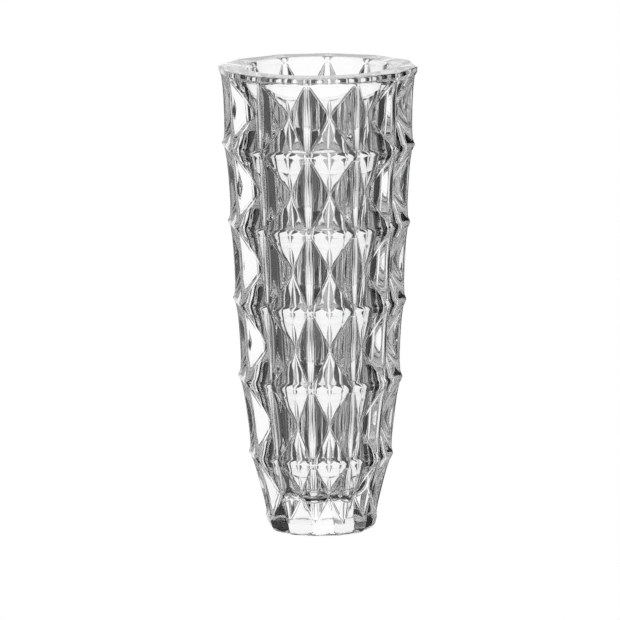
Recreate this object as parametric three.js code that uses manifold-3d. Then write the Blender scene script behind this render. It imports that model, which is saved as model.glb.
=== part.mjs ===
// Tall cut-crystal vase: one thick-walled piece of clear glass, cut all round with tiers of
// four-sided hollows between upright ribs. Millimetres, +Z up, origin on the axis at the foot.
import * as THREE from "three";
import { mergeVertices } from "three/addons/utils/BufferGeometryUtils.js";
import Module from "manifold-3d";

// Outside
const height = 305;
const ribCount = 12;
// Radius of the ribs at each line between tiers, from the rim down to the foot band.
const lineRadii = [65.1, 63.3, 59.8, 56.9, 54, 47.4, 36.4];
// Depth of each tier's cuts, from the flat between two ribs to the middle of the hollow.
const cutDepths = [11.1, 11.4, 9.8, 10.3, 8.5, 5.8];
// How far the middle of each tier's hollows lies under the middle of the tier.
const cutDrops = [0, 2, 2, 3, 3, 2];
const rimBand = 3; // uncut band under the rim
const footBand = 8.7; // uncut band over the foot
const ribRound = 3.5; // rounding along the upright ribs
const lineRound = 3.4; // rounding along the lines between tiers
const rimLineRound = 0.6; // rounding where the cuts meet the rim band
const footLineRound = 1; // rounding where the cuts meet the foot band
const rimRound = 0.8; // rounding of the rim's outer edge

// Inside
const wallAtCut = 7; // least glass behind the middle of a cut
const boreTaper = 0.0615; // radius that the bore gains for each millimetre of height
const floorThickness = 22.5;
const floorRound = 14; // rounding where the bore meets its floor
const lipRound = 3.2; // rounding of the rim's inner edge

// Underneath
const footRound = 7; // rounding from the foot band to the ring that the vase stands on
const footRingWidth = 4;
const recessDepth = 2.4;
const recessRound = 1.2;

// Fineness of the rounded surfaces
const ribRoundSteps = 2;
const lineRoundSteps = 1;
const edgeSteps = 3;
const boreSegments = 72;
const boreArcSteps = 6;
const overshoot = 5; // how far a cutting solid reaches past the glass
const leastEdge = 1e-4; // a triangle with a shorter edge has no area
const weldDistance = 1e-3; // corners nearer than this are one corner

const tierCount = cutDepths.length;
const halfPanel = Math.PI / ribCount;
const flatShare = Math.cos(halfPanel); // distance to the flat between two ribs, over the rib radius
const rightAngle = Math.PI / 2;

const lineHeights = Array.from({ length: tierCount + 1 }, (_, line) => {
  const evenly = height * (1 - line / tierCount);
  return Math.max(Math.min(evenly, height - rimBand), footBand);
});
const betweenTiers = Array.from({ length: tierCount - 1 }, () => lineRound);
const lineRounds = [rimLineRound, ...betweenTiers, footLineRound];

// The section through one tier in the upright plane at the middle of a panel, with the
// slope (distance out over height) of the upper and the lower facet.
const tiers = cutDepths.map((depth, tier) => {
  const top = lineHeights[tier];
  const bottom = lineHeights[tier + 1];
  const middle = (top + bottom) / 2 - cutDrops[tier];
  const ribSlope = (lineRadii[tier] - lineRadii[tier + 1]) / (top - bottom);
  const ribRadius = lineRadii[tier + 1] + ribSlope * (middle - bottom);
  const cutRadius = ribRadius * flatShare - depth;
  const upSlope = (lineRadii[tier] * flatShare - cutRadius) / (top - middle);
  const downSlope = (lineRadii[tier + 1] * flatShare - cutRadius) / (bottom - middle);
  return { top, bottom, middle, ribRadius, ribSlope, cutRadius, upSlope, downSlope };
});

// A row is a level line across one panel: its height, its distance out from the axis and half its length.
function fullRow(z, out) {
  return { z, out, half: out * Math.tan(halfPanel) };
}

// Rows of the rounding between two facets that meet at a tier line, from the facet with slope
// `from` to the middle of the rounding. `side` is 1 over the line and -1 under it.
function lineRoundRows(line, from, to, side) {
  const rounding = lineRounds[line];
  const start = Math.atan(from);
  const turn = (Math.atan(to) - start) / 2;
  const tangent = rounding * Math.tan(Math.abs(turn));
  const corner = { z: lineHeights[line], out: lineRadii[line] * flatShare };
  const touch = {
    z: corner.z + side * tangent * Math.cos(start),
    out: corner.out + side * tangent * Math.sin(start),
  };
  const centre = {
    z: touch.z + rounding * Math.sin(start),
    out: touch.out - rounding * Math.cos(start),
  };
  return Array.from({ length: lineRoundSteps + 1 }, (_, step) => {
    const angle = start + (turn * step) / lineRoundSteps;
    return fullRow(centre.z - rounding * Math.sin(angle), centre.out + rounding * Math.cos(angle));
  });
}

// One hollow: upright rows for its two flanks, and level rows for its upper and lower facets.
// The flanks round over the rib, and all four facets meet in the creases and in the middle.
function hollow(tierIndex) {
  const tier = tiers[tierIndex];
  const middleOff = tier.cutRadius * Math.sin(halfPanel);
  const ribAngle = Math.atan2(middleOff, tier.ribRadius - tier.cutRadius * flatShare);
  const roundEdge = ribRound * Math.cos(ribAngle);

  // How far the flank lies inside the rib's corner, at a distance `off` to one side of the rib.
  const drop = (off) =>
    off < roundEdge
      ? ribRound / Math.sin(ribAngle) - Math.sqrt(ribRound ** 2 - off ** 2)
      : off / Math.tan(ribAngle);

  // The point of the flank at `off` from the rib and at height z, in the panel's own directions.
  const flankPoint = (off, z) => {
    const outAtRib = tier.ribRadius + tier.ribSlope * (z - tier.middle) - drop(off);
    return {
      z,
      out: outAtRib * flatShare + off * Math.sin(halfPanel),
      half: outAtRib * Math.sin(halfPanel) - off * flatShare,
    };
  };

  // The height at which the flank meets the facet with this slope: a point of the crease.
  const creaseHeight = (off, slope) => {
    const out = flankPoint(off, tier.middle).out;
    return tier.middle + (out - tier.cutRadius) / (slope - tier.ribSlope * flatShare);
  };

  const offsets = Array.from(
    { length: ribRoundSteps + 1 },
    (_, step) => ribRound * Math.sin(((rightAngle - ribAngle) * step) / ribRoundSteps),
  );
  const flank = offsets.map((off) => [
    flankPoint(off, creaseHeight(off, tier.upSlope)),
    flankPoint(off, creaseHeight(off, tier.downSlope)),
  ]);
  const centre = { z: tier.middle, out: tier.cutRadius, half: 0 };
  flank.push([centre, centre]);

  const over = tierIndex > 0 ? tiers[tierIndex - 1].downSlope : 0;
  const under = tierIndex < tierCount - 1 ? tiers[tierIndex + 1].upSlope : footLean();
  const inward = flank.toReversed();
  return {
    flank,
    upper: [...inward.map((row) => row[0]), ...lineRoundRows(tierIndex, tier.upSlope, over, -1)],
    lower: [...inward.map((row) => row[1]), ...lineRoundRows(tierIndex + 1, tier.downSlope, under, 1)],
  };
}

// The foot band leans in as the last tier's ribs do.
function footLean() {
  return tiers[tierCount - 1].ribSlope * flatShare;
}

// Rows of a rounded edge, by the centre of its rounding and its first and last angle above level.
function edgeRows(z, out, radius, from, to) {
  return Array.from({ length: edgeSteps + 1 }, (_, step) => {
    const angle = from + ((to - from) * step) / edgeSteps;
    return fullRow(z + radius * Math.sin(angle), out + radius * Math.cos(angle));
  });
}

function rimRows(start) {
  const edge = edgeRows(height - rimRound, start.out - rimRound, rimRound, 0, rightAngle);
  return [start, ...edge, fullRow(height, 0)];
}

function footRows(start) {
  const lean = Math.atan(footLean());
  const side = start.out - footLean() * (start.z - footRound * (1 - Math.sin(lean)));
  const centre = side - footRound * Math.cos(lean);
  return [start, ...edgeRows(footRound, centre, footRound, -lean, -rightAngle), fullRow(0, 0)];
}

const hollows = tiers.map((tier, index) => hollow(index));
const rimShape = rimRows(hollows[0].upper.at(-1));
const footShape = footRows(hollows[tierCount - 1].lower.at(-1));
const footRingRadius = footShape.at(-2).out;

// Triangles, gathered as loose corners and merged at the end.
function makeSkin() {
  const corners = [];
  const triangle = (a, b, c) => {
    const shortest = Math.min(a.distanceTo(b), b.distanceTo(c), c.distanceTo(a));
    if (shortest >= leastEdge) {
      corners.push(...a.toArray(), ...b.toArray(), ...c.toArray());
    }
  };
  // Fills between two pairs of points and faces outwards: a and b below, c and d above, b and d on the right.
  const quad = (a, b, c, d) => {
    triangle(a, b, d);
    triangle(a, d, c);
  };
  return { corners, quad };
}

// A point of a panel: `along` to the side, `out` from the axis.
function panelPoint(panel, along, out, z) {
  const angle = (2 * panel + 1) * halfPanel;
  return new THREE.Vector3(
    out * Math.cos(angle) - along * Math.sin(angle),
    out * Math.sin(angle) + along * Math.cos(angle),
    z,
  );
}

function addRows(skin, panel, rows, upwards) {
  const ends = rows.map((row) => [
    panelPoint(panel, -row.half, row.out, row.z),
    panelPoint(panel, row.half, row.out, row.z),
  ]);
  ends.slice(1).forEach((high, index) => {
    const low = ends[index];
    const [below, above] = upwards ? [low, high] : [high, low];
    skin.quad(below[0], below[1], above[0], above[1]);
  });
}

function addFlank(skin, panel, rows, side) {
  const place = (point) => panelPoint(panel, side * point.half, point.out, point.z);
  const ends = rows.map((pair) => pair.map(place));
  ends.slice(1).forEach((inner, index) => {
    const outer = ends[index];
    const [left, right] = side > 0 ? [inner, outer] : [outer, inner];
    skin.quad(left[1], right[1], left[0], right[0]);
  });
}

function geometryOf(skin) {
  const geometry = new THREE.BufferGeometry();
  geometry.setAttribute("position", new THREE.Float32BufferAttribute(skin.corners, 3));
  return geometry;
}

// The vase before it is hollowed: every panel of every tier, closed over the rim and the foot.
function cutBlank() {
  const skin = makeSkin();
  for (let panel = 0; panel < ribCount; panel += 1) {
    hollows.forEach(({ flank, upper, lower }) => {
      addRows(skin, panel, upper, true);
      addRows(skin, panel, lower, false);
      addFlank(skin, panel, flank, 1);
      addFlank(skin, panel, flank, -1);
    });
    addRows(skin, panel, rimShape, true);
    addRows(skin, panel, footShape, false);
  }
  return geometryOf(skin);
}

// The bore is the widest cone of its taper that leaves the wall behind every cut over its floor.
function boreRadiusAtFoot() {
  const behindCuts = tiers
    .filter((tier) => tier.middle > floorThickness + floorRound)
    .map((tier) => tier.cutRadius - wallAtCut - boreTaper * tier.middle);
  return Math.min(...behindCuts);
}

// Points of an arc in the lathe's plane, by its centre and its first and last angle above level.
function arcPoints(x, y, radius, from, to) {
  return Array.from({ length: boreArcSteps + 1 }, (_, step) => {
    const angle = from + ((to - from) * step) / boreArcSteps;
    return new THREE.Vector2(x + radius * Math.cos(angle), y + radius * Math.sin(angle));
  });
}

function latheAboutZ(points) {
  return new THREE.LatheGeometry(points, boreSegments).rotateX(rightAngle);
}

function bore() {
  const lean = Math.atan(boreTaper);
  const radiusAt = (z) => boreRadiusAtFoot() + boreTaper * z;
  const cornerZ = floorThickness + floorRound;
  const cornerX = radiusAt(cornerZ) - floorRound / Math.cos(lean);
  const lipZ = height - lipRound;
  const lipX = radiusAt(lipZ) + lipRound / Math.cos(lean);
  return latheAboutZ([
    new THREE.Vector2(0, floorThickness),
    ...arcPoints(cornerX, cornerZ, floorRound, -rightAngle, -lean),
    ...arcPoints(lipX, lipZ, lipRound, Math.PI - lean, rightAngle),
    new THREE.Vector2(lipX, height + overshoot),
    new THREE.Vector2(0, height + overshoot),
  ]);
}

// The shallow recess that leaves a ring to stand on.
function recess() {
  const radius = footRingRadius - footRingWidth;
  return latheAboutZ([
    new THREE.Vector2(0, -overshoot),
    new THREE.Vector2(radius, -overshoot),
    new THREE.Vector2(radius, 0),
    ...arcPoints(radius - recessRound, recessDepth - recessRound, recessRound, 0, rightAngle),
    new THREE.Vector2(0, recessDepth),
  ]);
}

const wasm = await Module();
wasm.setup();

function solidOf(geometry) {
  geometry.deleteAttribute("normal");
  geometry.deleteAttribute("uv");
  const merged = mergeVertices(geometry, weldDistance);
  return new wasm.Manifold(
    new wasm.Mesh({
      numProp: 3,
      vertProperties: merged.attributes.position.array,
      triVerts: new Uint32Array(merged.index.array),
    }),
  );
}

function geometryFrom(solid) {
  const mesh = solid.getMesh();
  const geometry = new THREE.BufferGeometry();
  geometry.setAttribute("position", new THREE.BufferAttribute(mesh.vertProperties, 3));
  geometry.setIndex(new THREE.BufferAttribute(mesh.triVerts, 1));
  geometry.computeVertexNormals();
  return geometry;
}

const clearCrystal = new THREE.MeshStandardMaterial({
  color: 0xf4f7f6,
  roughness: 0.03,
  metalness: 0,
  transparent: true,
  opacity: 0.35,
});

const body = new THREE.Mesh(
  geometryFrom(solidOf(cutBlank()).subtract(solidOf(bore())).subtract(solidOf(recess()))),
  clearCrystal,
);
body.name = "vase_body";

const vase = new THREE.Group();
vase.add(body);

export default vase;
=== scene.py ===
from math import atan, atan2, cos, pi, radians, sin, tan
import bpy
from mathutils import Matrix, Vector


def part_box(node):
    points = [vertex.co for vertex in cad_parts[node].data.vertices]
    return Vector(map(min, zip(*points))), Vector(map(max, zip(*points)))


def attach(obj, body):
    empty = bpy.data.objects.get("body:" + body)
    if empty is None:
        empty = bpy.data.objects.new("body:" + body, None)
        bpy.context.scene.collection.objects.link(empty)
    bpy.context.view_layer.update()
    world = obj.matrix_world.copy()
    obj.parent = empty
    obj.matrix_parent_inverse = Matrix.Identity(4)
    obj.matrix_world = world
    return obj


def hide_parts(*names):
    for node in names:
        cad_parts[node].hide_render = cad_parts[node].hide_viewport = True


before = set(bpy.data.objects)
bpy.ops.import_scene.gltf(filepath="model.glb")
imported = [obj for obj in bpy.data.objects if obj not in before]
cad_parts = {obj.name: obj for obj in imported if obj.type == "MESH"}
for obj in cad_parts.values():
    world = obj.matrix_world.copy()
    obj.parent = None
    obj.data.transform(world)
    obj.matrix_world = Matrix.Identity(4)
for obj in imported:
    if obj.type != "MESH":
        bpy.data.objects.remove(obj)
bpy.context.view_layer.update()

print("frame loaded")
mm = 0.001

# The cut outside, in millimetres. Radii, depths, drops and bands are the CAD solid's. The roundings of
# ribs and tier lines, the softened creases and the hollow grind are this mesh's own.
cutting = {
    "ribs": 12,
    "lineRadii": [65.1, 63.3, 59.8, 56.9, 54.0, 47.4, 36.4],  # over the ribs, rim first
    "cutDepths": [11.1, 11.4, 9.8, 10.3, 8.5, 5.8],  # from the flat between two ribs
    "cutDrops": [0, 2, 2, 3, 3, 2],  # how far a hollow's middle sits under its tier's middle
    "rimBand": 3.0,
    "footBand": 8.7,
    "ribRound": 4.6,  # in the middle of a tier; the roundings narrow towards the ends
    "ribEndShare": 0.6,
    "lineRound": 4.6,
    "lineEndShare": 0.3,
    "rimLineRound": 0.6,  # even all along, as is the foot's
    "footLineRound": 1.0,
    "hollowGrind": 1.05,  # how far the upper and lower facets are ground below flat
    "creaseRound": 1.2,  # reach of the wheel's own rounding in the creases
    "creaseLift": 0.3,
    "creaseLiftFade": 2.5,  # how near to a rib the lift begins to fade
}

# The turned surfaces, in millimetres.
turning = {
    "rimRound": 0.8,
    "lipRound": 3.2,
    "wallAtCut": 7.0,
    "boreTaper": 0.0615,
    "floorThickness": 22.5,
    "floorRound": 14.0,
    "footRound": 7.0,
    "footRingWidth": 4.0,
    "recessDepth": 2.4,
    "recessRound": 1.2,
}

# How fine the skin is: rows from a hollow's middle to the rib, columns from crease to crease, and the
# steps of each turned rounding.
fineness = {
    "planeRows": 9,
    "ribRows": 6,
    "shoulderRows": 2,
    "lineRows": 4,
    "openColumns": 3,  # on each side of a facet's middle
    "creaseColumns": 3,
    "creaseMost": 0.5,  # the share of half a row that the columns by a crease may take
    "boreRows": 30,
    "rimSteps": 4,
    "lipSteps": 7,
    "floorSteps": 9,
    "footSteps": 6,
    "recessSteps": 4,
    "rimShares": (0.15, 0.5, 0.85),  # where rows lie across the flat rim
    "ringShares": (0.5,),
    "floorShares": (0.66, 0.33, 0),
    "recessShares": (0.8, 0.5, 0.25, 0),
    "weldDistance": 0.00001,  # metres
    "smoothBelow": 24,  # degrees; edges that turn more stay sharp
}


class Value:
    # an output socket; + - * / and the named steps below add Math nodes to its tree
    def __init__(self, board, socket):
        self.board = board
        self.socket = socket

    def step(self, operation, *values):
        return self.board.add("ShaderNodeMath", {"operation": operation}, dict(enumerate(values)))

    def __add__(self, other):
        return self.step("ADD", self, other)

    def __radd__(self, other):
        return self.step("ADD", other, self)

    def __sub__(self, other):
        return self.step("SUBTRACT", self, other)

    def __rsub__(self, other):
        return self.step("SUBTRACT", other, self)

    def __mul__(self, other):
        return self.step("MULTIPLY", self, other)

    def __rmul__(self, other):
        return self.step("MULTIPLY", other, self)

    def __truediv__(self, other):
        return self.step("DIVIDE", self, other)

    def __rtruediv__(self, other):
        return self.step("DIVIDE", other, self)

    def parts(self):  # the three numbers of a vector
        split = self.board.add("ShaderNodeSeparateXYZ", {}, {0: self}).socket.node
        return [Value(self.board, socket) for socket in split.outputs]

    def sin(self):
        return self.step("SINE", self)

    def cos(self):
        return self.step("COSINE", self)

    def tan(self):
        return self.step("TANGENT", self)

    def atan(self):
        return self.step("ARCTANGENT", self)

    def root(self):
        return self.step("SQRT", self)

    def size(self):
        return self.step("ABSOLUTE", self)

    def sign(self):
        return self.step("SIGN", self)

    def atLeast(self, other):
        return self.step("MAXIMUM", self, other)

    def atMost(self, other):
        return self.step("MINIMUM", self, other)

    def share(self):  # held between 0 and 1
        return self.atLeast(0).atMost(1)


class Board:
    # a node tree; every node comes from add()
    def __init__(self, tree):
        self.tree = tree

    def add(self, kind, settings=None, sockets=None, out=0):
        node = self.tree.nodes.new(kind)
        for name, setting in (settings or {}).items():
            setattr(node, name, setting)
        for name, value in (sockets or {}).items():
            for item in value if isinstance(value, list) else [value]:
                if isinstance(item, Value):
                    self.tree.links.new(item.socket, node.inputs[name])
                else:
                    node.inputs[name].default_value = item
        return Value(self, node.outputs[out]) if node.outputs else None


# The finish: fire-polished all over, a little uneven, and ground where the vase stands.
finish = {
    "refraction": 1.545,
    "tint": (0.985, 0.99, 0.987, 1),
    "ripplesPerMetre": 90.0,
    "rippleStretch": (1.0, 1.0, 2.5),  # the wheel's ripples lie level
    "rippleDetail": 1.5,
    "rippleCoarseness": 0.45,
    "rippleHeight": 0.0002,
    "rippleStrength": 0.3,
    "hazePerMetre": 34.0,
    "hazeDetail": 3.0,
    "hazeFrom": 0.52,  # more leaves fewer hazy patches
    "hazeContrast": 4,
    "hazeRoughness": 0.05,
    "groundHeight": 0.0004,
    "groundRoughness": 0.24,
    "scratchesPerMetre": 2600.0,
    "scratchRoughness": 0.3,
}


def clearCrystal():
    material = bpy.data.materials.new("clear_crystal")
    material.use_nodes = True
    material.node_tree.nodes.clear()
    board = Board(material.node_tree)
    place = board.add("ShaderNodeTexCoord", out="Object")
    stretched = board.add("ShaderNodeVectorMath", {"operation": "MULTIPLY"}, {
        0: place, 1: finish["rippleStretch"]})
    ripple = board.add("ShaderNodeTexNoise", {}, {
        "Vector": stretched,
        "Scale": finish["ripplesPerMetre"],
        "Detail": finish["rippleDetail"],
        "Roughness": finish["rippleCoarseness"],
    })
    haze = board.add("ShaderNodeTexNoise", {}, {
        "Vector": place, "Scale": finish["hazePerMetre"], "Detail": finish["hazeDetail"]})
    scratch = board.add("ShaderNodeTexNoise", {}, {"Vector": place, "Scale": finish["scratchesPerMetre"]})
    ground = 1 - (place.parts()[2] / finish["groundHeight"]).share()
    hazy = ((haze - finish["hazeFrom"]) * finish["hazeContrast"]).share() * finish["hazeRoughness"]
    worn = finish["groundRoughness"] + scratch * finish["scratchRoughness"]
    roughness = hazy * (1 - ground) + worn * ground
    uneven = board.add("ShaderNodeBump", {}, {
        "Height": ripple, "Strength": finish["rippleStrength"], "Distance": finish["rippleHeight"]})
    glass = board.add("ShaderNodeBsdfPrincipled", {}, {
        "Base Color": finish["tint"],
        "Roughness": roughness,
        "IOR": finish["refraction"],
        "Transmission Weight": 1.0,
        "Normal": uneven,
    })
    board.add("ShaderNodeOutputMaterial", {}, {"Surface": glass})
    return material


def tierTree(material):
    tree = bpy.data.node_groups.new("cutTier", "GeometryNodeTree")
    face = tree.interface
    face.new_socket(name="Geometry", in_out="OUTPUT", socket_type="NodeSocketGeometry")
    face.new_socket(name="Geometry", in_out="INPUT", socket_type="NodeSocketGeometry")
    face.new_socket(name="Ribs", in_out="INPUT", socket_type="NodeSocketInt")
    sizes = ["Top", "Bottom", "Top Radius", "Bottom Radius", "Depth", "Drop", "Slope Above", "Slope Below",
             "Rib Round", "Rib End Share", "Round Above", "Round Below", "End Share Above", "End Share Below",
             "Crease Round", "Crease Lift", "Hollow Grind"]
    for name in sizes:
        face.new_socket(name=name, in_out="INPUT", socket_type="NodeSocketFloat")
    board = Board(tree)
    entry = board.add("NodeGroupInput").socket.node
    given = {socket.name: Value(board, socket) for socket in entry.outputs if socket.name}
    top, bottom = given["Top"], given["Bottom"]
    topRadius, bottomRadius = given["Top Radius"], given["Bottom Radius"]
    ribRound = given["Rib Round"]
    ribEnd = ribRound * given["Rib End Share"]

    halfPanel = pi / given["Ribs"]
    flatShare, sideShare, lean = halfPanel.cos(), halfPanel.sin(), halfPanel.tan()
    middle = (top + bottom) / 2 - given["Drop"]
    ribSlope = (topRadius - bottomRadius) / (top - bottom)
    ribRadius = bottomRadius + ribSlope * (middle - bottom)
    cutRadius = ribRadius * flatShare - given["Depth"]
    middleOff = cutRadius * sideShare
    ribAngle = (middleOff / (ribRadius - cutRadius * flatShare)).atan()

    def drop(off, rounding):  # how far a flank lies inside the rib's sharp corner
        inRound = off.atMost(rounding * ribAngle.cos())
        onCurve = rounding / ribAngle.sin() - (rounding * rounding - inRound * inRound).root()
        return onCurve + (off - inRound) / ribAngle.tan()

    def creaseHeight(off, slope):
        out = (ribRadius - drop(off, ribEnd)) * flatShare + off * sideShare
        return middle + (out - cutRadius) / (slope - ribSlope * flatShare)

    # where a grid's point starts: along runs from -0.5 to 0.5, across from -1 to 1
    spot = board.add("GeometryNodeInputPosition").parts()
    along, across = spot[0], spot[1] * 2

    planeRows, ribRows = fineness["planeRows"], fineness["ribRows"]
    halfColumns = fineness["openColumns"] + fineness["creaseColumns"]
    openShare = fineness["openColumns"] / halfColumns

    def offset(row, rounding):  # distance to one side of the rib, row 0 being the hollow's middle
        plane = (row / planeRows).share()
        turned = 1 - ((row - planeRows) / ribRows).share()
        return middleOff * (1 - plane) + rounding * ((pi / 2 - ribAngle) * turned).sin() * plane

    def lens(middleSize, endShare, place):  # full in the middle of an edge, narrow at its two ends
        squared = place * place
        return middleSize * (endShare + (1 - endShare) * (1 - squared * squared))

    def spread(half):  # columns over a row, closer together by the creases
        nearCrease = (half * fineness["creaseMost"]).atMost(given["Crease Round"])
        clear = (half - nearCrease) * (across.size() / openShare).share()
        near = nearCrease * ((across.size() - openShare) / (1 - openShare)).share()
        return across.sign() * (clear + near)

    def lifted(out, off, gap):  # fills the crease a little
        near = (1 - gap / given["Crease Round"]).share()
        return out + given["Crease Lift"] * near * near * (off / cutting["creaseLiftFade"]).share()

    def facet(rows, out, sideways, z):
        grid = board.add("GeometryNodeMeshGrid", {}, {
            "Size X": 1.0, "Size Y": 1.0, "Vertices X": rows + 1, "Vertices Y": 2 * halfColumns + 1})
        point = board.add("ShaderNodeCombineXYZ", {}, {"X": out * mm, "Y": sideways * mm, "Z": z * mm})
        return board.add("GeometryNodeSetPosition", {}, {"Geometry": grid, "Position": point})

    def flank():
        rows = planeRows + ribRows
        endOff = offset((along + 0.5) * rows, ribEnd)
        high, low = creaseHeight(endOff, slopeUp()), creaseHeight(endOff, slopeDown())
        half = (high - low) / 2
        shift = spread(half)
        z = (high + low) / 2 + shift
        rounding = lens(ribRound, given["Rib End Share"], shift / half)
        off = offset((along + 0.5) * rows, rounding)
        out = (ribRadius + ribSlope * (z - middle) - drop(off, rounding)) * flatShare + off * sideShare
        sideways = out * lean - off / flatShare
        return facet(rows, lifted(out, off, half - shift.size()), sideways, z)

    def slopeUp():
        return (topRadius * flatShare - cutRadius) / (top - middle)

    def slopeDown():
        return (bottomRadius * flatShare - cutRadius) / (bottom - middle)

    def cap(slope, otherSlope, lineHeight, way, side):
        inner, shoulder = planeRows + ribRows, fineness["shoulderRows"]
        rows = inner + shoulder + fineness["lineRows"]
        row = (along + 0.5) * rows
        off = offset(row, ribEnd)
        onShoulder = ((row - inner) / shoulder).share()
        onLine = ((row - inner - shoulder) / fineness["lineRows"]).share()
        start = slope.atan()
        turn = (otherSlope.atan() - start) / 2
        lineRound = lens(given["Round " + side], given["End Share " + side], across)
        tangent = lineRound * turn.size().tan()
        touchZ = lineHeight - way * tangent * start.cos()
        angle = start + turn * onLine
        crease = creaseHeight(off, slope)
        flatZ = crease + (touchZ - creaseHeight(off * 0, slope)) * onShoulder
        z = flatZ + lineRound * (start.sin() - angle.sin())
        out = cutRadius + slope * (flatZ - middle) + lineRound * (angle.cos() - start.cos())
        half = out * lean - off / flatShare
        reached = (flatZ - middle) / (touchZ - middle)
        # 4 r (1 - r) is 1 halfway up the facet and 0 at both ends
        out = out - given["Hollow Grind"] * 4 * reached * (1 - reached) * (1 - across * across)
        sideways = spread(half)
        return facet(rows, lifted(out, off, half - sideways.size()), sideways, z)

    right = flank()
    left = board.add("GeometryNodeFlipFaces", {}, {
        "Mesh": board.add("GeometryNodeTransform", {}, {"Geometry": right, "Scale": (1, -1, 1)})})
    upper = board.add("GeometryNodeFlipFaces", {}, {
        "Mesh": cap(slopeUp(), given["Slope Above"], top, 1, "Above")})
    lower = cap(slopeDown(), given["Slope Below"], bottom, -1, "Below")
    panel = board.add("GeometryNodeJoinGeometry", {}, {"Geometry": [right, left, upper, lower]})
    centres = board.add("GeometryNodePoints", {}, {"Count": given["Ribs"]})
    turnTo = (board.add("GeometryNodeInputIndex") + 0.5) * (2 * pi) / given["Ribs"]
    ring = board.add("GeometryNodeInstanceOnPoints", {}, {
        "Points": centres, "Instance": panel,
        "Rotation": board.add("ShaderNodeCombineXYZ", {}, {"Z": turnTo})})
    whole = board.add("GeometryNodeRealizeInstances", {}, {
        "Geometry": board.add("GeometryNodeJoinGeometry", {}, {"Geometry": [given["Geometry"], ring]})})
    welded = board.add("GeometryNodeMergeByDistance", {}, {
        "Geometry": whole, "Distance": fineness["weldDistance"]})
    smooth = board.add("GeometryNodeSetShadeSmooth", {"domain": "FACE"}, {"Geometry": welded})
    angle = board.add("GeometryNodeInputMeshEdgeAngle")
    gentle = angle.step("LESS_THAN", angle, radians(fineness["smoothBelow"]))
    edged = board.add("GeometryNodeSetShadeSmooth", {"domain": "EDGE"}, {
        "Geometry": smooth, "Shade Smooth": gentle})
    finished = board.add("GeometryNodeSetMaterial", {}, {"Geometry": edged, "Material": material})
    board.add("NodeGroupOutput", {}, {"Geometry": finished})
    return tree


def tierSections():  # one tier after another, as the tree takes them
    flatShare = cos(pi / cutting["ribs"])
    radii = cutting["lineRadii"]
    count = len(cutting["cutDepths"])
    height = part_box("vase_body")[1][2] / mm
    heights = [max(min(height * (1 - line / count), height - cutting["rimBand"]), cutting["footBand"])
               for line in range(count + 1)]
    sections = []
    for tier, depth in enumerate(cutting["cutDepths"]):
        top, bottom = heights[tier], heights[tier + 1]
        middle = (top + bottom) / 2 - cutting["cutDrops"][tier]
        ribSlope = (radii[tier] - radii[tier + 1]) / (top - bottom)
        cutRadius = (radii[tier + 1] + ribSlope * (middle - bottom)) * flatShare - depth
        sections.append({
            "Top": top, "Bottom": bottom, "Top Radius": radii[tier], "Bottom Radius": radii[tier + 1],
            "Depth": depth, "Drop": cutting["cutDrops"][tier],
            "middle": middle, "cutRadius": cutRadius, "ribSlope": ribSlope,
            "slopeUp": (radii[tier] * flatShare - cutRadius) / (top - middle),
            "slopeDown": (radii[tier + 1] * flatShare - cutRadius) / (bottom - middle),
        })
    for tier, section in enumerate(sections):
        section["Slope Above"] = sections[tier - 1]["slopeDown"] if tier else 0.0
        last = tier == len(sections) - 1
        section["Round Above"] = cutting["lineRound"] if tier else cutting["rimLineRound"]
        section["End Share Above"] = cutting["lineEndShare"] if tier else 1.0
        section["Round Below"] = cutting["footLineRound"] if last else cutting["lineRound"]
        section["End Share Below"] = 1.0 if last else cutting["lineEndShare"]
        section["Slope Below"] = section["ribSlope"] * flatShare if last else sections[tier + 1]["slopeUp"]
    return height, sections


def lineEnd(slope, other, section, which, rounding):
    # the middle of a line's rounding, where the turned rows take over, as (distance out, height)
    flatShare = cos(pi / cutting["ribs"])
    start = atan(slope)
    turn = (atan(other) - start) / 2
    way = 1 if which == "Top" else -1
    tangent = rounding * tan(abs(turn))
    out = section[which + " Radius"] * flatShare - way * tangent * sin(start)
    z = section[which] - way * tangent * cos(start)
    outward = rounding * (cos(start + turn) - cos(start))
    upward = rounding * (sin(start) - sin(start + turn))
    return (out + outward, z + upward)


def arc(out, z, radius, first, last, steps, roundness):
    turns = [first + (last - first) * step / steps for step in range(steps + 1)]
    return [(out + radius * cos(turn), z + radius * sin(turn), roundness) for turn in turns]


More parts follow.
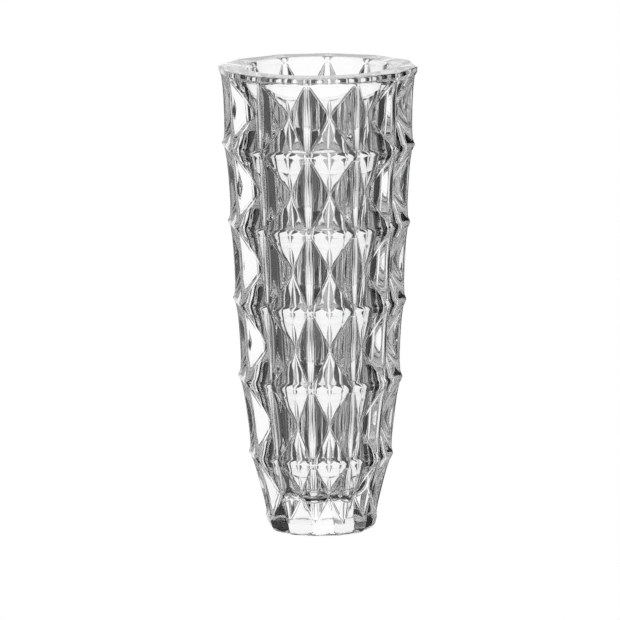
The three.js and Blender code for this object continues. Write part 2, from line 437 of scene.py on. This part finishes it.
def turnedRows():
    # rows of (distance out, height, roundness): roundness 0 follows the ribs' polygon and 1 is a true circle
    height, sections = tierSections()
    flatShare = cos(pi / cutting["ribs"])
    firstOut, firstZ = lineEnd(sections[0]["slopeUp"], 0.0, sections[0], "Top", cutting["rimLineRound"])
    lastLean = sections[-1]["ribSlope"] * flatShare
    lastOut, lastZ = lineEnd(sections[-1]["slopeDown"], lastLean, sections[-1], "Bottom",
                             cutting["footLineRound"])
    t, steps = turning, fineness
    behindCuts = [s["cutRadius"] - t["wallAtCut"] - t["boreTaper"] * s["middle"] for s in sections
                  if s["middle"] > t["floorThickness"] + t["floorRound"]]
    boreAtFoot = min(behindCuts)

    def boreRadius(z):
        return boreAtFoot + t["boreTaper"] * z

    lean = atan(t["boreTaper"])
    lipZ = height - t["lipRound"]
    lipOut = boreRadius(lipZ) + t["lipRound"] / cos(lean)
    cornerZ = t["floorThickness"] + t["floorRound"]
    cornerOut = boreRadius(cornerZ) - t["floorRound"] / cos(lean)
    rimOut = firstOut - t["rimRound"]
    rim = [(firstOut, firstZ, 0)]
    rim += arc(rimOut, height - t["rimRound"], t["rimRound"], 0, pi / 2, steps["rimSteps"], 0)
    rim += [(rimOut + (lipOut - rimOut) * share, height, share) for share in steps["rimShares"]]
    lip = arc(lipOut, lipZ, t["lipRound"], pi / 2, pi - lean, steps["lipSteps"], 1)
    wallTop, wallBottom = lip[-1][1], cornerZ - t["floorRound"] * sin(lean)
    boreRows = steps["boreRows"]
    wall = [wallTop + (wallBottom - wallTop) * row / boreRows for row in range(1, boreRows)]
    bore = [(boreRadius(z), z, 1) for z in wall]
    corner = arc(cornerOut, cornerZ, t["floorRound"], -lean, -pi / 2, steps["floorSteps"], 1)
    floorRows = [(cornerOut * share, t["floorThickness"], 1) for share in steps["floorShares"]]
    inside = rim + lip + bore + corner + floorRows
    footLean = atan(lastLean)
    side = lastOut - lastLean * (lastZ - t["footRound"] * (1 - sin(footLean)))
    footCentre = side - t["footRound"] * cos(footLean)
    ringOut = footCentre - t["footRingWidth"]
    recessOut, recessZ = ringOut - t["recessRound"], t["recessDepth"] - t["recessRound"]
    foot = [(lastOut, lastZ, 0)]
    foot += arc(footCentre, t["footRound"], t["footRound"], -footLean, -pi / 2, steps["footSteps"], 0)
    foot += [(ringOut + t["footRingWidth"] * share, 0, 1 - share) for share in steps["ringShares"]]
    foot += [(ringOut, 0, 1)]
    foot += arc(recessOut, recessZ, t["recessRound"], 0, pi / 2, steps["recessSteps"], 1)
    foot += [(recessOut * share, t["recessDepth"], 1) for share in steps["recessShares"]]
    return inside, foot


def turnedMesh():
    halfPanel = pi / cutting["ribs"]
    halfColumns = fineness["openColumns"] + fineness["creaseColumns"]
    openShare = fineness["openColumns"] / halfColumns
    points, faces = [], []

    def columnAngle(out, column):  # the columns of the facets, turned into an angle
        half = out * tan(halfPanel)
        nearCrease = min(half * fineness["creaseMost"], cutting["creaseRound"])
        share = abs(column) / halfColumns
        clear = (half - nearCrease) * min(share / openShare, 1)
        near = nearCrease * max((share - openShare) / (1 - openShare), 0)
        return atan2((clear + near) * (1 if column > 0 else -1), out)

    def addRows(rows, outside):
        base = len(points)
        ringCount = cutting["ribs"] * 2 * halfColumns
        for out, z, roundness in rows:
            for panel in range(cutting["ribs"]):
                for column in range(-halfColumns, halfColumns):
                    turn = columnAngle(rows[0][0], column)
                    reach = out * ((1 - roundness) / cos(turn) + roundness)
                    angle = (2 * panel + 1) * halfPanel + turn
                    points.append((reach * cos(angle) * mm, reach * sin(angle) * mm, z * mm))
        for row in range(len(rows) - 1):
            for place in range(ringCount):
                a = base + row * ringCount + place
                b = base + row * ringCount + (place + 1) % ringCount
                quad = (a, b, b + ringCount, a + ringCount)
                faces.append(quad if outside else quad[::-1])

    inside, foot = turnedRows()
    addRows(inside, True)
    addRows(foot, False)
    mesh = bpy.data.meshes.new("turned")
    mesh.from_pydata(points, [], faces)
    return mesh


def makeVase():
    material = clearCrystal()
    vase = bpy.data.objects.new("crystal_vase", turnedMesh())
    bpy.context.scene.collection.objects.link(vase)
    tree = tierTree(material)
    inputs = [item for item in tree.interface.items_tree if item.in_out == "INPUT"]
    identifiers = {item.name: item.identifier for item in inputs}
    shared = {
        "Ribs": cutting["ribs"],
        "Rib Round": cutting["ribRound"],
        "Rib End Share": cutting["ribEndShare"],
        "Crease Round": cutting["creaseRound"],
        "Crease Lift": cutting["creaseLift"],
        "Hollow Grind": cutting["hollowGrind"],
    }
    for section in tierSections()[1]:
        modifier = vase.modifiers.new("tier", "NODES")
        modifier.node_group = tree
        for name, size in {**section, **shared}.items():
            if name in identifiers:
                modifier[identifiers[name]] = size if name == "Ribs" else float(size)
    polish = vase.modifiers.new("evenNormals", "WEIGHTED_NORMAL")
    polish.keep_sharp = True
    bpy.context.view_layer.update()
    evaluated = vase.evaluated_get(bpy.context.evaluated_depsgraph_get())
    mesh = bpy.data.meshes.new_from_object(evaluated)
    vase.modifiers.clear()
    vase.data = mesh
    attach(vase, "root")
    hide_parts("vase_body")
    return vase


# The table's top, in metres: only seen past the vase, so it is a flat white square.
table = {
    "reach": 0.7,
    "under": 0.0003,  # how far it lies below the foot
}


def makeFloor():
    material = bpy.data.materials.new("pale_floor")
    material.use_nodes = True
    material.node_tree.nodes.clear()
    board = Board(material.node_tree)
    glow = board.add("ShaderNodeEmission", {}, {"Color": (1, 1, 1, 1), "Strength": 1.0})
    board.add("ShaderNodeOutputMaterial", {}, {"Surface": glow})
    mesh = bpy.data.meshes.new("floor")
    corners = [(-1, -1), (1, -1), (1, 1), (-1, 1)]
    points = [(x * table["reach"], y * table["reach"], -table["under"]) for x, y in corners]
    mesh.from_pydata(points, [], [(0, 1, 2, 3)])
    mesh.materials.append(material)
    floor = bpy.data.objects.new("floor", mesh)
    floor.visible_transmission = False  # the glass shows the sweep, not the edge of the table
    floor.visible_glossy = False
    bpy.context.scene.collection.objects.link(floor)


view = {
    "azimuth": 6.639,
    "elevation": 8.652,
    "distance": 7.475,
    "aimHeight": 0.1525,
    "lens": 666.6,
    "sensor": 36,
    "farthest": 100,
    "roll": -0.497,
    "shift": (-0.01565, -0.01926),
}


def makeCamera():
    data = bpy.data.cameras.new("camera")
    data.sensor_width = view["sensor"]
    data.lens = view["lens"]
    data.clip_end = view["farthest"]
    data.shift_x, data.shift_y = view["shift"]
    camera = bpy.data.objects.new("camera", data)
    bpy.context.scene.collection.objects.link(camera)
    azimuth, elevation = radians(view["azimuth"]), radians(view["elevation"])
    level = cos(elevation)
    back = Vector((sin(azimuth) * level, -cos(azimuth) * level, sin(elevation)))
    camera.location = Vector((0, 0, view["aimHeight"])) + back * view["distance"]
    turn = (-back).to_track_quat("-Z", "Y").to_matrix() @ Matrix.Rotation(radians(view["roll"]), 3, "Z")
    camera.rotation_euler = turn.to_euler()
    bpy.context.scene.camera = camera


# The studio round the vase: a white sweep behind it, black flags beside that, a narrow white panel on
# each side, and softboxes in front and overhead. Angles are in degrees, from the line of sight and level.
studio = {
    "sweepHalfWidth": 24.0,
    "sweepSoftness": 5.0,
    "sweepTop": 33.0,
    "sweepBottom": -52.0,
    "sweepLight": 1.05,
    "sweepFade": 0.13,  # what it loses towards its edges
    "flagLight": 0.005,
    "flagTo": 58.0,
    "sideLight": 0.06,
    "fillMiddle": 90.0,  # a narrow white panel on each side
    "fillHalfWidth": 9.0,
    "fillLight": 0.4,
    "frontFrom": 112.0,
    "frontSoftness": 10.0,
    "frontLight": 0.6,
    "ceilingFrom": 62.0,
    "ceilingLight": 0.9,
    "bounces": 24,
    "glossyBounces": 16,
}


def makeStudio():
    scene = bpy.context.scene
    scene.view_settings.view_transform = "Standard"
    scene.cycles.max_bounces = studio["bounces"]
    scene.cycles.transmission_bounces = studio["bounces"]
    scene.cycles.glossy_bounces = studio["glossyBounces"]
    world = bpy.data.worlds.new("studio")
    scene.world = world
    world.use_nodes = True
    world.node_tree.nodes.clear()
    board = Board(world.node_tree)
    x, y, z = board.add("ShaderNodeTexCoord").parts()
    turn = radians(view["azimuth"])
    ahead = y * cos(turn) - x * sin(turn)
    aside = x * cos(turn) + y * sin(turn)
    azimuth = aside.step("ARCTAN2", aside, ahead).size() * (180 / pi)
    height = z.step("ARCSINE", z) * (180 / pi)

    def ramp(value, start, softness):  # 0 below start, 1 above it
        return ((value - start) / softness + 0.5).share()

    softness = studio["sweepSoftness"]
    inWidth = 1 - ramp(azimuth, studio["sweepHalfWidth"], softness)
    underTop = 1 - ramp(height, studio["sweepTop"], softness)
    inSweep = inWidth * underTop * ramp(height, studio["sweepBottom"], softness)
    inFront = ramp(azimuth, studio["frontFrom"], studio["frontSoftness"])
    overhead = ramp(height, studio["ceilingFrom"], studio["frontSoftness"])
    beside = ramp(azimuth, studio["flagTo"], studio["frontSoftness"])
    level = studio["flagLight"] + beside * (studio["sideLight"] - studio["flagLight"])
    level = level + inFront * (studio["frontLight"] - level)
    fromFill = (azimuth - studio["fillMiddle"]).size()
    inFill = 1 - ramp(fromFill, studio["fillHalfWidth"], softness)
    level = level + inFill * (studio["fillLight"] - level)
    sideways, upright = azimuth / studio["sweepHalfWidth"], height / studio["sweepBottom"]
    sweep = studio["sweepLight"] - studio["sweepFade"] * (sideways * sideways + upright * upright)
    level = level + inSweep * (sweep - level)
    level = level + overhead * (studio["ceilingLight"] - level)
    room = board.add("ShaderNodeBackground", {}, {"Color": (1, 1, 1, 1), "Strength": level})
    white = board.add("ShaderNodeBackground", {}, {"Color": (1, 1, 1, 1), "Strength": 1.0})
    seen = board.add("ShaderNodeLightPath")
    mixed = board.add("ShaderNodeMixShader", {}, {0: seen, 1: room, 2: white})
    board.add("ShaderNodeOutputWorld", {}, {"Surface": mixed})


makeCamera()
print("camera set")
vase = makeVase()
print("vase cut:", len(vase.data.polygons), "faces")
makeFloor()
makeStudio()
print("studio lit")
